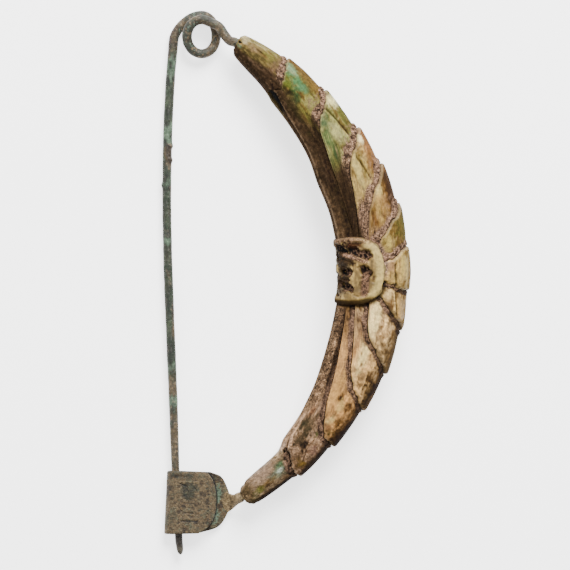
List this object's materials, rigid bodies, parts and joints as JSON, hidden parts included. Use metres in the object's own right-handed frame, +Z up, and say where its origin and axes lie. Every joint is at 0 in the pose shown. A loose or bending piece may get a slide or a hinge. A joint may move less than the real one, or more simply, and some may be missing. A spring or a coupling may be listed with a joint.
{
  "type": "bow brooch",
  "caption": "Bow brooch lying on its side: a carved bone bow with overlapping scales and a boss, on a bronze wire with a spring coil, a sprung pin and a folded catch plate.",
  "frame": {"origin": "middle of the brooch's outline, on the ground it lies on", "axes": "+Y along the pin towards the spring coil, +X from the pin towards the bow's belly, +Z up from the ground through the face that shows"},
  "size_m": [0.0518, 0.1144, 0.0136],
  "materials": {
    "bone": "satin",
    "catch_bronze": "matte",
    "wire_bronze": "matte",
    "pin_bronze": "matte"
  },
  "bodies": {
    "bow_and_catch": {"bow": "bone", "catch_plate": "catch_bronze", "head_wire": "wire_bronze"},
    "pin": {"sprung_pin": "pin_bronze"}
  },
  "joints": [
    {"name": "pin_spring", "type": "hinge", "parent": "bow_and_catch", "child": "pin", "pos_m": [-0.01778, 0.05167, 0.00273], "axis": [-0.0874, -0.0057, 0.9962], "range_deg": [0, 5.6], "stiffness_Nm_per_rad": 0.5, "springref_deg": -1.15}
  ]
}
